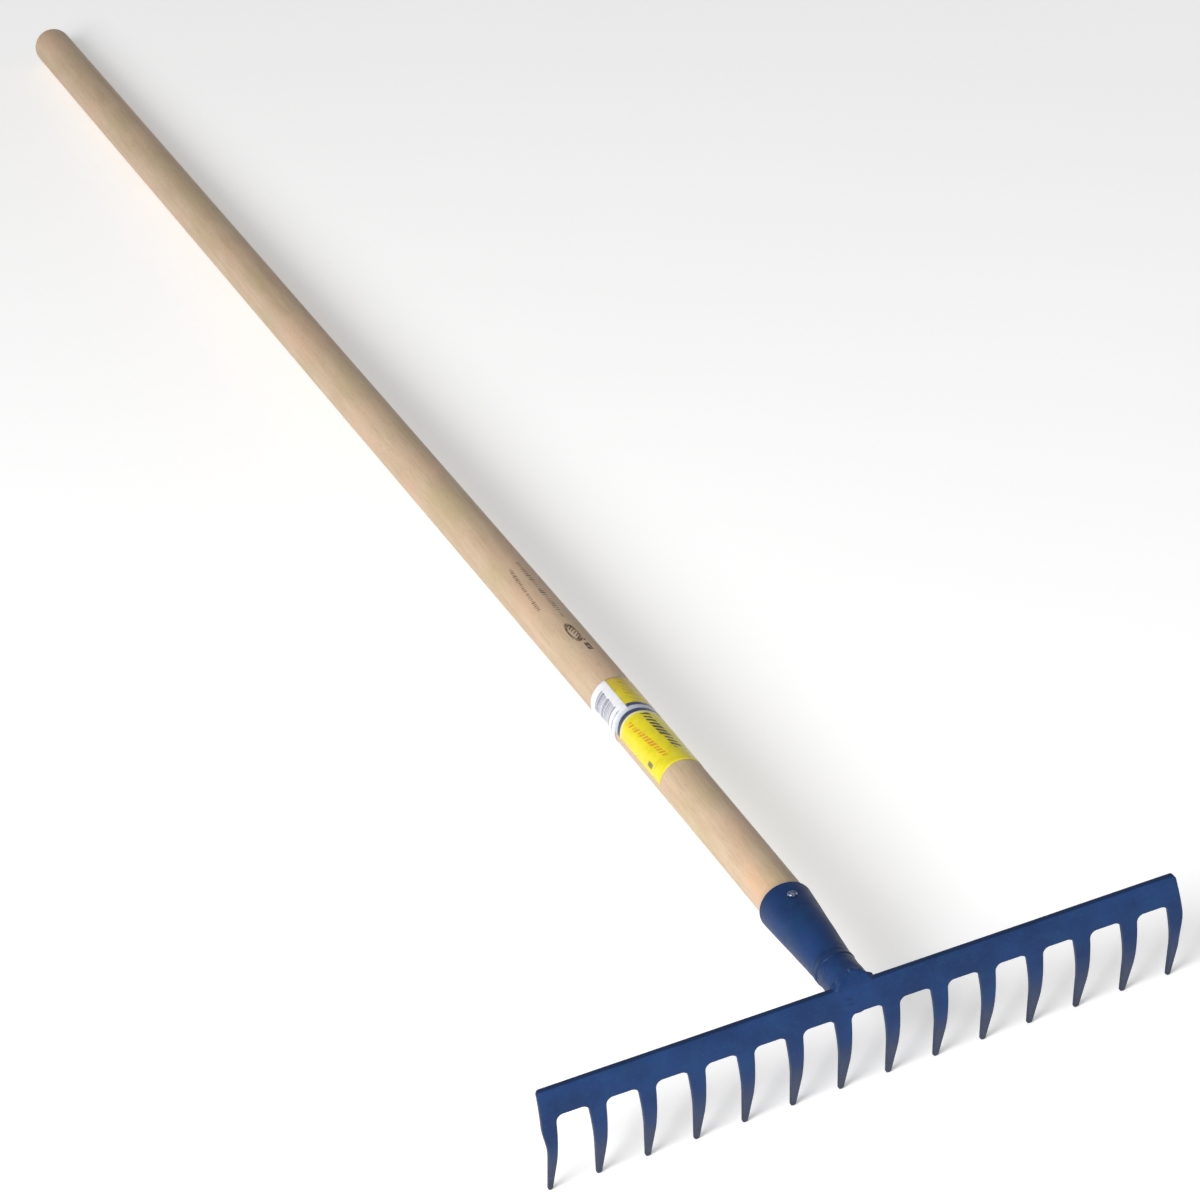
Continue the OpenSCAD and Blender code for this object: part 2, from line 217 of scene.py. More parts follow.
# ---------------------------------------------------------------- node helpers
class Paint:
    """Builds one material's node tree with short calls."""

    def __init__(self, name):
        self.material = bpy.data.materials.new(name)
        self.material.use_nodes = True
        self.tree = self.material.node_tree
        self.shader = next(n for n in self.tree.nodes if n.type == "BSDF_PRINCIPLED")

    def node(self, kind, sockets=(), **settings):
        made = self.tree.nodes.new("ShaderNode" + kind)
        for name, value in settings.items():
            setattr(made, name, value)
        for name, value in dict(sockets).items():
            self.put(made.inputs[name], value)
        return made

    def put(self, socket, value):
        if isinstance(value, bpy.types.Node):
            value = value.outputs[0]
        if isinstance(value, bpy.types.NodeSocket):
            self.tree.links.new(value, socket)
        else:
            if socket.type == "RGBA" and len(value) == 3:
                value = (*value, 1)
            socket.default_value = value

    def math(self, op, a, b=0.0, c=0.0, clamp=False):
        made = self.node("Math", operation=op, use_clamp=clamp)
        for socket, value in zip(made.inputs, (a, b, c)):
            self.put(socket, value)
        return made

    def mix(self, amount, a, b, how="MIX"):
        made = self.node("Mix", data_type="RGBA", blend_type=how)
        self.put(made.inputs["Factor"], amount)
        self.put(made.inputs[6], a)
        self.put(made.inputs[7], b)
        return made.outputs[2]

    def ramp(self, value, *stops):
        made = self.node("ValToRGB", {"Fac": value})
        band = made.color_ramp
        while len(band.elements) < len(stops):
            band.elements.new(0.5)
        for element, (at, level) in zip(band.elements, stops):
            element.position = at
            element.color = (level,) * 3 + (1,) if isinstance(level, (int, float)) else (*level, 1)
        return made.outputs[0]

    def span(self, value, low, high, to_low=0.0, to_high=1.0):
        """Maps low..high to to_low..to_high, smoothly and clamped."""
        made = self.node("MapRange", {"Value": value, "From Min": low, "From Max": high, "To Min": to_low,
                                      "To Max": to_high}, interpolation_type="SMOOTHSTEP")
        return made.outputs[0]

    def place(self, scale=(1, 1, 1), turn=(0, 0, 0), shift=(0, 0, 0)):
        """Object coordinates, in metres, turned and then scaled."""
        where = self.node("TexCoord").outputs["Object"]
        made = self.node("Mapping", {"Vector": where, "Rotation": turn, "Scale": scale, "Location": shift})
        return made.outputs[0]

    def noise(self, vector, scale=1.0, detail=3.0, rough=0.5, distort=0.0):
        made = self.node("TexNoise", {"Vector": vector, "Scale": scale, "Detail": detail, "Roughness": rough,
                                      "Distortion": distort})
        return made.outputs[0]

    def line(self, value, slope, offset=0.0):
        return self.math("MULTIPLY_ADD", value, slope, offset)

    def both(self, *masks):
        """The product of masks from 0 to 1."""
        result = masks[0]
        for mask in masks[1:]:
            result = self.math("MULTIPLY", result, mask)
        return result

    def within(self, value, low, high, soft):
        """1 between two values and 0 outside them."""
        return self.both(self.span(value, low - soft, low + soft), self.span(value, high + soft, high - soft))

    def near(self, value, middle, half, soft):
        """1 where the value is less than half away from the middle."""
        away = self.math("ABSOLUTE", self.math("SUBTRACT", value, middle))
        return self.span(away, self.math("ADD", half, soft), self.math("SUBTRACT", half, soft))

    def ticks(self, value, period, share, seed):
        """Bars of uneven width along a value, and a random number for each of them."""
        cell = self.math("DIVIDE", value, period)
        number = self.node("TexWhiteNoise", {"W": self.math("ADD", self.math("FLOOR", cell), seed)},
                           noise_dimensions="1D").outputs["Value"]
        wide = self.math("MULTIPLY_ADD", number, 0.7 * share, 0.6 * share)
        return self.span(self.math("FRACT", cell), wide, self.math("SUBTRACT", wide, 0.12)), number

    def on_pole(self):
        """Millimetres along the handle, and degrees round it from the top, from the Print map."""
        parts = self.node("SeparateXYZ", {"Vector": self.node("UVMap", uv_map="Print")})
        return self.line(parts.outputs[0], POLE_END), self.line(parts.outputs[1], 360.0)

    def bump(self, height, strength, distance, normal=None):
        made = self.node("Bump", {"Strength": strength, "Distance": distance, "Height": height})
        if normal is not None:
            self.put(made.inputs["Normal"], normal)
        return made.outputs[0]

    def done(self, **sockets):
        for name, value in sockets.items():
            self.put(self.shader.inputs[name.replace("_", " ").title().replace("Ior", "IOR")], value)
        return self.material


# ---------------------------------------------------------------- materials
# TURN lays the y axis of object coordinates along the handle.
TURN = (LEAN, 0, 0)
INK = (0.055, 0.026, 0.017)


def ash_wood():
    """Pale ash with fine pores along the handle, stained near the socket, stamped with ink and given painted
    shade next to the socket.
    """
    p = Paint("ash_wood")
    y, phi = p.on_pole()
    fibre = p.noise(p.place((1500, 22, 1500), TURN), detail=4, rough=0.6)
    streak = p.noise(p.place((260, 3.2, 260), TURN, (3, 1, 2)), detail=3, distort=0.5)
    patch = p.noise(p.place((70, 26, 70), TURN, (1, 7, 4)), detail=3)
    tint = p.noise(p.place((55, 14, 55), TURN, (9, 2, 6)), detail=2)
    colour = p.ramp(fibre, (0.3, (0.46, 0.335, 0.22)), (0.64, (0.59, 0.445, 0.305)))
    colour = p.mix(p.span(streak, 0.40, 0.68, 0, 0.6), colour, (0.46, 0.32, 0.205))
    colour = p.mix(p.span(patch, 0.35, 0.75, 0, 0.45), colour, (0.61, 0.48, 0.35))
    colour = p.mix(p.span(tint, 0.48, 0.70, 0, 0.55), colour, (0.475, 0.385, 0.215))
    colour = p.mix(p.span(tint, 0.52, 0.30, 0, 0.55), colour, (0.61, 0.41, 0.285))
    pores = p.noise(p.place((2600, 150, 2600), TURN, (5, 5, 5)), detail=2)
    colour = p.mix(p.span(pores, 0.60, 0.70, 0, 0.45), colour, (0.30, 0.20, 0.12))
    stain = p.both(p.span(y, 135, 98), p.near(phi, -45.0, 20.0, 20.0), p.span(patch, 0.2, 0.6))
    colour = p.mix(p.line(stain, 0.5), colour, (0.70, 0.37, 0.17))
    # Painted shade: darker just above the socket's mouth and, up to 135 mm, on the side away from the lamp.
    painted_shade = p.math("MAXIMUM", p.span(y, 101, 92), p.both(p.span(y, 135, 96), p.near(phi, 50.0, 30.0, 20.0)))
    painted_shade = p.both(painted_shade, p.span(fibre, 0.2, 0.7))
    colour = p.mix(p.line(painted_shade, 0.4), colour, (0.16, 0.12, 0.10))
    ink = stamp_ink(p, y, phi)
    colour = p.mix(ink, colour, INK)
    height = p.math("ADD", p.line(fibre, 0.7), p.line(p.span(pores, 0.6, 0.7), -0.6))
    rough = p.math("SUBTRACT", p.span(fibre, 0.3, 0.7, 0.46, 0.64), p.line(ink, 0.08))
    return p.done(base_color=colour, roughness=rough, normal=p.bump(height, 0.25, 0.0004),
                  specular_ior_level=0.3)


def stamp_ink(p, y, phi):
    """A worn ink stamp of plain marks: two rows of dashes, and a ring with a block of bars at its foot."""
    slanted = p.math("ADD", y, p.line(phi, 0.12))
    dash, number = p.ticks(slanted, 3.1, 0.5, 7.0)
    first = p.both(dash, p.near(phi, 14.0, p.line(number, 2.5, 3.5), 1.2), p.within(y, 430, 508, 1))
    dash, number = p.ticks(slanted, 2.3, 0.55, 31.0)
    tall = p.near(phi, p.line(y, 0.2, -115), p.line(number, 2.0, 2.6), 1.0)
    second = p.both(dash, tall, p.within(y, 446, 503, 1))
    radius = p.math("SQRT", p.math("ADD", p.math("POWER", p.line(y, 1 / 12, -408 / 12), 2.0),
                                   p.math("POWER", p.line(phi, 1 / 13, -4 / 13), 2.0)))
    ring = p.near(radius, 0.84, 0.18, 0.07)
    bars, number = p.ticks(p.math("SUBTRACT", y, p.line(phi, 0.3)), 3.4, 0.7, 3.0)
    tall = p.near(phi, p.line(y, -0.25, 110), p.line(number, 2.5, 6.0), 1.5)
    inner = p.both(bars, tall, p.within(y, 396, 417, 1))
    foot = p.both(p.near(phi, 13.0, 6.0, 1.0), p.within(y, 384, 393, 0.8))
    marks = p.math("MAXIMUM", p.math("MAXIMUM", p.line(first, 0.9), p.line(second, 0.8)),
                   p.math("MAXIMUM", p.line(ring, 0.85), p.math("MAXIMUM", inner, foot)))
    worn = p.noise(p.place((500, 500, 500)), detail=3)
    return p.both(marks, p.span(worn, 0.3, 0.55, 0.35, 1.0))


def enamel(name, base=(0.0085, 0.032, 0.112), bump=1.0):
    """Dark blue enamel with painted shade along the edges, worn to grey steel towards the floor."""
    p = Paint(name)
    where = p.place()
    broad = p.noise(where, 38, 3)
    fine = p.noise(where, 420, 3, 0.6)
    peel = p.noise(where, 900, 2)
    specks = p.noise(where, 1700, 2)
    height = p.node("SeparateXYZ", {"Vector": p.node("TexCoord").outputs["Object"]}).outputs[2]
    rim = p.node("Attribute", attribute_name="rim").outputs["Fac"]
    colour = p.mix(p.span(broad, 0.3, 0.7), [0.82 * v for v in base], [1.16 * v for v in base])
    green = p.noise(where, 60, 2, 0.5, 1.0)
    colour = p.mix(p.span(green, 0.45, 0.75, 0, 0.35), colour, (0.010, 0.050, 0.125))
    colour = p.mix(p.span(fine, 0.52, 0.72, 0, 0.25), colour, (0.03, 0.055, 0.125))
    ragged = p.math("ADD", height, p.line(p.noise(where, 90, 4, 0.6), 0.02, -0.01))
    worn = p.both(p.span(ragged, 0.046, 0.012), p.span(fine, 0.25, 0.6, 0.55, 1.0))
    colour = p.mix(p.line(worn, 0.75), colour, (0.050, 0.057, 0.086))
    bare = p.both(p.span(ragged, 0.014, 0.003), p.span(fine, 0.42, 0.56))
    colour = p.mix(p.line(bare, 0.7), colour, (0.052, 0.054, 0.062))
    # Painted shade: near-black blue where the rim number marks a point as lying at an edge.
    edge = p.both(p.span(rim, 0.35, 0.95, 0, 0.5), p.span(fine, 0.2, 0.5, 0.7, 1.0))
    colour = p.mix(edge, colour, (0.008, 0.014, 0.035))
    colour = p.mix(p.span(specks, 0.68, 0.72, 0, 0.3), colour, (0.10, 0.13, 0.20))
    rough = p.math("ADD", p.span(broad, 0.3, 0.7, 0.38, 0.5), p.span(fine, 0.4, 0.7, 0, 0.1))
    rough = p.math("ADD", rough, p.line(worn, 0.15))
    normal = p.bump(peel, 0.12 * bump, 0.0004)
    normal = p.bump(broad, 0.2 * bump, 0.0012, normal)
    normal = p.bump(bare, 0.3, 0.0002, normal)
    return p.done(base_color=colour, roughness=rough, normal=normal, metallic=p.line(bare, 0.5),
                  specular_ior_level=0.16)


def nail_steel():
    """Bright steel with the rest of the blue enamel on it."""
    p = Paint("nail_steel")
    where = p.place()
    chips = p.noise(where, 520, 4, 0.6)
    scratch = p.noise(p.place((400, 2600, 400)), 1, 3)
    chip = p.span(chips, 0.46, 0.52)
    colour = p.mix(chip, (0.50, 0.52, 0.58), (0.012, 0.035, 0.11))
    rough = p.math("ADD", 0.3, p.span(scratch, 0.3, 0.7, 0, 0.2))
    return p.done(base_color=colour, metallic=p.line(chip, -0.9, 0.9), roughness=rough,
                  normal=p.bump(chips, 0.3, 0.0003))


def label_film():
    """Yellow film with a curved band and rows of plain marks."""
    p = Paint("label_film")
    y, phi = p.on_pole()
    where = p.place()
    cloud = p.noise(where, 160, 3)
    colour = p.mix(p.span(cloud, 0.3, 0.7), (0.66, 0.565, 0.008), (0.74, 0.64, 0.012))
    upper = p.span(y, 311, 315)
    ochre = p.math("ADD", p.span(y, 318, 345, 0.15, 0.7), p.span(phi, 0, 35, 0, 0.2), clamp=True)
    colour = p.mix(p.both(upper, ochre), colour, (0.52, 0.35, 0.05))
    figure, number = p.ticks(p.math("ADD", y, p.line(phi, 0.2)), 5.0, 0.5, 12.0)
    figure = p.both(figure, upper, p.near(phi, 16.0, p.line(number, 8.0, 5.0), 3.0))
    colour = p.mix(p.line(figure, 0.35), colour, (0.30, 0.20, 0.02))
    arc = p.math("ADD", y, p.line(p.math("POWER", p.math("SINE", p.line(phi, 1 / 60, 25 / 60)), 2.0), 4.0))
    colour = p.mix(p.within(arc, 303.0, 314.5, 0.4), colour, (0.045, 0.055, 0.12))
    colour = p.mix(p.within(arc, 306.8, 311.0, 0.4), colour, (0.46, 0.48, 0.56))
    colour = p.mix(p.within(arc, 301.3, 302.8, 0.4), colour, (0.66, 0.64, 0.42))
    lower = p.within(y, 250, 297, 0.5)
    slanted = p.math("ADD", y, p.line(phi, 0.15))
    mark, number = p.ticks(slanted, 3.3, 0.64, 5.0)
    row = p.both(mark, lower, p.near(phi, p.line(y, -0.42, 87.0), p.line(number, 3.0, 4.5), 1.0))
    colour = p.mix(p.line(row, 0.95), colour, (0.60, 0.235, 0.015))
    mark, number = p.ticks(slanted, 4.2, 0.66, 19.0)
    tall = p.near(phi, p.line(y, -0.33, 107.0), p.line(number, 5.0, 7.0), 1.0)
    row = p.both(mark, p.within(y, 255, 299, 0.5), tall)
    colour = p.mix(p.line(row, 0.92), colour, (0.02, 0.018, 0.05))
    spot = p.both(p.near(phi, -63.0, 6.0, 1.5), p.within(y, 253, 259, 0.6))
    colour = p.mix(p.line(spot, 0.8), colour, (0.05, 0.04, 0.06))
    scuff = p.span(p.noise(where, 700, 3), 0.62, 0.7)
    colour = p.mix(p.line(scuff, 0.35), colour, (0.75, 0.72, 0.55))
    rough = p.math("ADD", p.span(cloud, 0.3, 0.7, 0.25, 0.38), p.line(scuff, 0.2))
    return p.done(base_color=colour, roughness=rough, normal=p.bump(p.noise(where, 120, 3), 0.15, 0.001),
                  specular_ior_level=0.4)


def code_paper():
    """White coated paper with a block of plain bars and a thin line."""
    p = Paint("code_paper")
    y, phi = p.on_pole()
    where = p.place()
    cloud = p.noise(where, 240, 3)
    colour = p.mix(p.span(cloud, 0.3, 0.7), (0.70, 0.70, 0.74), (0.78, 0.78, 0.80))
    bars, number = p.ticks(y, 1.15, 0.75, 2.0)
    block = p.both(bars, p.within(y, 317.5, 339.5, 0.2), p.near(phi, -60.0, p.line(number, 3.0, 22.0), 1.0))
    colour = p.mix(p.line(block, 0.75), colour, (0.06, 0.06, 0.13))
    dashes, number = p.ticks(phi, 5.0, 0.8, 9.0)
    row = p.both(dashes, p.within(y, 312.2, 313.8, 0.2), p.within(phi, -92, -34, 1.0))
    colour = p.mix(p.line(row, 0.7), colour, (0.08, 0.09, 0.2))
    edge = p.span(y, 310.5, 309)
    colour = p.mix(p.line(edge, 0.4), colour, (0.35, 0.36, 0.42))
    rough = p.span(cloud, 0.3, 0.7, 0.3, 0.45)
    return p.done(base_color=colour, roughness=rough, normal=p.bump(p.noise(where, 150, 3), 0.12, 0.001),
                  specular_ior_level=0.35)


# ---------------------------------------------------------------- handle
def pole_centre(y):
    """The middle of the handle, which bends a little towards the socket."""
    if y >= TAPER_Y:
        return np.array([0.0, y, 0.0])
    if y >= MOUTH_Y:
        bend = ((TAPER_Y - y) / (TAPER_Y - MOUTH_Y)) ** 1.6
        return np.array([MOUTH_AT[0] * bend, y, MOUTH_AT[2] * bend])
    return MOUTH_AT + (NECK_AT - MOUTH_AT) * (MOUTH_Y - y) / (MOUTH_Y - NECK_AT[1])


def pole_radius(y):
    if y >= TAPER_Y:
        return POLE_R
    if y >= MOUTH_Y:
        return MOUTH_POLE_R + (POLE_R - MOUTH_POLE_R) * (y - MOUTH_Y) / (TAPER_Y - MOUTH_Y)
    return PLUG_POLE_R - PLUG_GAP + (MOUTH_POLE_R - PLUG_POLE_R) * (y - PLUG_Y) / (MOUTH_Y - PLUG_Y)


def on_pole(y, degrees, lift=0.0):
    """A point on the handle's skin; degrees run from the top towards +x."""
    a = math.radians(degrees)
    return pole_centre(y) + (pole_radius(y) + lift) * np.array([math.sin(a), 0, math.cos(a)])


def make_handle():
    """The pole in rings, from its plug in the socket to the flat on its round butt."""
    around, round_steps = 128, 14
    stations = list(np.linspace(PLUG_Y, MOUTH_Y - 0.5, 6)) + list(np.linspace(MOUTH_Y, TAPER_Y, 90))
    stations += list(np.linspace(TAPER_Y, POLE_END - BUTT_ROUND, 150))[1:]
    angles = np.arange(around) * 360.0 / around - 180
    rings = [[on_pole(y, a) for a in angles] for y in stations]
    uv = [(y / POLE_END, a / 360.0) for y in stations for a in angles]
    for step in range(1, round_steps + 1):
        t = math.radians(90.0 * step / round_steps)
        y = POLE_END - BUTT_ROUND + BUTT_ROUND * math.sin(t)
        shrink = BUTT_ROUND * (1 - math.cos(t))
        if step > round_steps - 2:
            y -= 0.05 * (round_steps - step)
        rings.append([on_pole(y, a, -shrink) for a in angles])
        uv += [(y / POLE_END, a / 360.0) for a in angles]
    points = np.array(rings).reshape(-1, 3)
    ends = [pole_centre(PLUG_Y), pole_centre(POLE_END)]
    points = np.concatenate([points, ends])
    uv += [(PLUG_Y / POLE_END, 0), (1, 0)]
    return piece("pole", points, tube_faces(len(rings), around), uv)


# ---------------------------------------------------------------- socket, neck and welds
SOCKET_LEN = float(np.linalg.norm(NECK_AT - MOUTH_AT))
SOCKET_AXIS = (NECK_AT - MOUTH_AT) / SOCKET_LEN
SOCKET_UP = np.array([0.0, 0, 1]) - SOCKET_AXIS[2] * SOCKET_AXIS
SOCKET_UP /= np.linalg.norm(SOCKET_UP)
SOCKET_SIDE = np.cross(SOCKET_UP, SOCKET_AXIS)
SOCKET_SIDE *= np.sign(SOCKET_SIDE[0])
SOCKET_TAPER = (MOUTH_R - NECK_R) / SOCKET_LEN


def socket_radial(degrees):
    a = math.radians(degrees)
    return math.sin(a) * SOCKET_SIDE + math.cos(a) * SOCKET_UP


def make_socket():
    """The rolled cone, in rows from its mouth. Its seam is cut back there, and its left side is full."""
    last = SOCKET_REACH
    rows = [0, 0.15, 0.4, 0.7, 1.1, 1.6, 2.2] + list(np.arange(3, 67, 0.9)) + [last - 0.25, last]
    cols = 150
    edge = [0, 0.006, 0.014, 0.024, 0.04]
    share = edge + list(np.linspace(0.055, 0.945, cols - 2 * len(edge))) + [1 - e for e in edge[::-1]]
    middle = np.zeros((len(rows), len(share), 3))
    normal = np.zeros_like(middle)
    distance = np.zeros(middle.shape[:2])
    for i, s in enumerate(rows):
        r = MOUTH_R - SOCKET_TAPER * s
        gap = SEAM_HALF + max(0.0, (SEAM_CORNER - s) / SEAM_CORNER) ** 1.5 * SEAM_CUT
        half_gap = math.degrees(gap / r)
        for j, w in enumerate(share):
            deg = SEAM_DEG + half_gap + w * (360 - 2 * half_gap)
            out = socket_radial(deg)
            arc = math.radians((360 - 2 * half_gap) * min(w, 1 - w)) * r
            d = min(s, last - s, arc)
            radius = r - WALL / 2
            nail = math.hypot(s - NAIL_INSET, math.radians((deg - NAIL_DEG + 180) % 360 - 180) * r)
            radius -= NAIL_DENT * math.exp(-(nail / NAIL_DENT_R) ** 2)
            radius += SOCKET_SET * max(0.0, -math.sin(math.radians(deg))) * (1 - s / last)
            here = MOUTH_AT + SOCKET_AXIS * s + out * radius
            radius += 0.12 * wobble(here, 14, 3.1) - 0.12
            middle[i, j] = MOUTH_AT + SOCKET_AXIS * s + out * radius
            normal[i, j] = out
            distance[i, j] = d
    points, faces = sheet(middle, normal, np.full(distance.shape, WALL / 2), distance, EDGE_ROUND)
    # The small end is under the weld, so its edge gets no painted edge shade.
    along = np.repeat(np.array(rows)[:, None], len(share), 1)
    rim = np.tile(np.clip(1.35 - np.minimum(distance, last - along + NO_EDGE) / 1.2, 0, 1).ravel(), 2)
    return piece("socket_shell", points, faces, rim=rim)


def bend_y(z, side):
    """The bent plate's front (side -1) or back (side +1) at a height."""
    r = BEND_R - side * PLATE_T / 2
    return BEND_MID[0] - math.sqrt(r * r - (z - BEND_MID[1]) ** 2)


def smooth(t):
    """An eased step from 0 to 1."""
    t = min(1.0, max(0.0, t))
    return t * t * (3 - 2 * t)


LIP_Y = bend_y(COMB_TOP, -1)
LIP_SLOPE = math.tan(math.radians(55))


def neck_end(z):
    """Where the neck ends against the plate or, above the bar's edge, on its lip."""
    low = bend_y(min(z, COMB_TOP), 1) - 0.25
    high = LIP_Y + 0.5 + max(0.0, z - COMB_TOP) / LIP_SLOPE
    return low + (high - low) * smooth((z - COMB_TOP + 0.1) / 0.5)


def make_neck():
    """The tube from inside the socket's small end to the plate, in rings, with both of its ends closed."""
    around, steps = 144, 40
    angles = [TAU * j / around for j in range(around)]
    first_y = NECK_AT[1] + 0.4
    rings = []
    for r in (3.0, 6.0, 9.0, NECK_R - 0.7, NECK_R - 0.2):
        rings.append([(NECK_AT[0] + r * math.sin(a), first_y, NECK_AT[2] + r * math.cos(a)) for a in angles])
    for i in range(steps + 1):
        t = i / steps
        ring = []
        for a in angles:
            z = NECK_AT[2] + NECK_R * math.cos(a)
            y = NECK_AT[1] + (neck_end(z) - NECK_AT[1]) * t
            x = NECK_AT[0] + NECK_R * math.sin(a)
            r = NECK_R + 0.22 * wobble((x, y, z), 6, 1.7) + 0.1 * wobble((x, y, z), 2.2, 5.7) - 0.1
            ring.append((NECK_AT[0] + r * math.sin(a), y, NECK_AT[2] + r * math.cos(a)))
        rings.append(ring)
    for share in (0.97, 0.92, 0.86, 0.79, 0.71, 0.62, 0.52, 0.41, 0.29, 0.16):
        ring = []
        for a in angles:
            x = NECK_AT[0] + NECK_R * share * math.sin(a)
            z = NECK_AT[2] + NECK_R * share * math.cos(a)
            ring.append((x, neck_end(z) - 0.25 * smooth((1 - share) * 8), z))
        rings.append(ring)
    points = [p for ring in rings for p in ring]
    points += [(NECK_AT[0], y, NECK_AT[2]) for y in (first_y, neck_end(NECK_AT[2]) - 0.25)]
    return piece("neck_tube", points, tube_faces(len(rings), around))


# Balls of weld metal round each ring, and separate drops of it as x, y, z and radius.
RING_BALLS = 72
WELD_LUMPS = ((1.2, 1.3, 7.9, 1.5), (3.2, -0.6, 6.2, 1.4), (-3.5, -1.5, 5.9, 1.5), (-10.0, -1.8, 3.8, 1.5))


def make_socket_weld():
    """A low, wide ring of weld metal, drawn further down the neck on its upper side."""
    balls = []
    for i in range(RING_BALLS):
        a = TAU * i / RING_BALLS
        radial = np.array([math.sin(a), 0, math.cos(a)])
        first = NECK_AT[1] + 2.6
        last = NECK_AT[1] - 0.8 - 3.0 * max(0.0, math.cos(a + 0.15)) ** 1.5
        for k in range(7):
            y = first + (last - first) * k / 6
            n = wobble(radial * 12 + [0, y, 0], 3.4, 4.4)
            r = 1.18 + 0.14 * n + (0.0, 0, 0, 0, 0.05, 0.15, 0.2)[k]
            slant = SOCKET_TAPER * max(0.0, y - NECK_AT[1])
            centre = NECK_AT * [1, 0, 1] + [0, y, 0] + radial * (NECK_R + slant - 0.85)
            balls.append((centre, r))
    return grown("socket_weld_bead", balls, 0.3, 14)


def make_bar_weld():
    """Weld metal behind the plate, over the neck's end and down to the bar's front edge."""
    balls = []
    slope = np.array([0, -1 / math.hypot(1, 1 / LIP_SLOPE), 1 / LIP_SLOPE / math.hypot(1, 1 / LIP_SLOPE)])
    for i in range(RING_BALLS):
        a = TAU * i / RING_BALLS
        radial = np.array([math.sin(a), 0, math.cos(a)])
        z = NECK_AT[2] + NECK_R * math.cos(a)
        n = wobble(radial * 12, 3.2, 8.8)
        if z < COMB_TOP - 0.3:
            on_ring = NECK_AT * [1, 0, 1] + [0, bend_y(z, 1) + 0.9, 0] + radial * (NECK_R + 0.25)
            balls.append((on_ring, 1.65 + 0.3 * n))
        else:
            for y, sink, r in ((0.5, 1.0, 1.35), (1.5, 1.0, 1.25), (2.4, 1.05, 1.12), (3.2, 1.1, 1.05)):
                centre = NECK_AT * [1, 0, 1] + [0, neck_end(z) + y, 0] + radial * (NECK_R - sink)
                low = 0.55 + 0.45 * smooth((z - COMB_TOP) / 2.0)
                balls.append((centre, low * (r + 0.16 * wobble(radial * 12 + [0, 3 * y, 0], 3.2, 1.9))))
    for i in range(12):
        z = COMB_TOP - 0.5 + 0.6 * i
        reach = math.sqrt(max(0.0, (NECK_R - 1.0) ** 2 - (z - NECK_AT[2]) ** 2))
        count = max(2, int(2 * reach / 1.0))
        for j in range(count):
            x = NECK_AT[0] - reach + 2 * reach * j / (count - 1)
            low = max(0.0, z - COMB_TOP)
            centre = np.array([x, LIP_Y + 1.0 + low / LIP_SLOPE, z]) + slope * 0.25
            balls.append((centre, 1.35 + 0.3 * wobble(centre, 3.4, 3.3)))
    for side in (-1, 1):
        for k in range(4):
            x = NECK_AT[0] + side * (9.9 + 0.6 * k)
            fade = 1 - k / 4
            balls.append(((x, LIP_Y + PLATE_T / 2, COMB_TOP - 1.3 + 0.6 * fade), 1.1 + 0.6 * fade))
        for k in range(6):
            balls.append(((NECK_AT[0] + side * 9.4, LIP_Y + 1.1 + 0.8 * k, COMB_TOP - 0.4 + 0.15 * k), 1.45))
            balls.append(((NECK_AT[0] + side * (8.2 + 0.6 * k), LIP_Y + 0.9, COMB_TOP - 0.85), 1.5 - 0.1 * k))
    for x, y, z, r in WELD_LUMPS:
        balls.append(((x, y, z), r))
    return grown("bar_weld_bead", balls, 0.3, 12)


def make_nail():
    """The nail in rings, from its point in the wood out to its head."""
    seat = MOUTH_R - SOCKET_TAPER * NAIL_INSET
    radial = socket_radial(NAIL_DEG)
    centre = MOUTH_AT + SOCKET_AXIS * NAIL_INSET
    side = np.cross(radial, SOCKET_AXIS)
    around, rings = 40, []
    profile = [(0.9, -15.0), (NAIL_R, -13.0), (NAIL_R, -0.9), (2.1, -0.75)]
    profile += [(NAIL_HEAD_R - 0.15, -0.45), (NAIL_HEAD_R, -0.15), (NAIL_HEAD_R - 0.12, 0.2)]
    profile += [(NAIL_HEAD_R - 0.5, 0.48), (1.7, 0.68), (0.9, 0.78)]
    for r, h in profile:
        ring = []
        for j in range(around):
            a = TAU * j / around
            d = math.cos(a) * SOCKET_AXIS + math.sin(a) * side
            k = r * (1 + 0.05 * wobble(d * 9, 5, 6.6))
            tilt = 0.06 * r * math.cos(a + 0.6)
            ring.append(centre + radial * (seat + h + (tilt if h > -1 else 0)) + d * k)
        rings.append(ring)
    points = [p for ring in rings for p in ring]
    points += [centre + radial * (seat - 15.4), centre + radial * (seat + 0.8)]
    return piece("nail", points, tube_faces(len(rings), around))


# ---------------------------------------------------------------- comb
# The comb's plain end, as heights and half widths: flared at the bar, narrowing to the outer tooth.
END_ZS = (TIP_LOW - 9, TIP_LOW, GAP_TOP - 22, GAP_TOP - 8, COMB_TOP, COMB_TOP + 9)
END_XS = (178.5, 178.5, 179.05, 181.2, COMB_HALF, COMB_HALF - 0.6)


def end_x(z):
    """Half width of the comb's plain end at a height, its bends eased over 7 mm."""
    return float(np.mean([np.interp(z + d, END_ZS, END_XS) for d in np.linspace(-3.5, 3.5, 9)]))


def tooth_half(z):
    """Half width of a tooth at a height, up to the gap's rounded corners."""
    if z >= GAP_TOP:
        return ROOT_HALF + GAP_CORNER
    if z >= ROOT_Z:
        rise = (z - ROOT_Z) / GAP_CORNER
        return ROOT_HALF + GAP_CORNER * (1 - math.sqrt(max(0.0, 1 - rise * rise)))
    if z >= TIP_ROUND_Z:
        return TIP_HALF + (ROOT_HALF - TIP_HALF) * (z - TIP_ROUND_Z) / (ROOT_Z - TIP_ROUND_Z)
    return math.sqrt(max(0.0, TIP_HALF ** 2 - (TIP_ROUND_Z - z) ** 2))


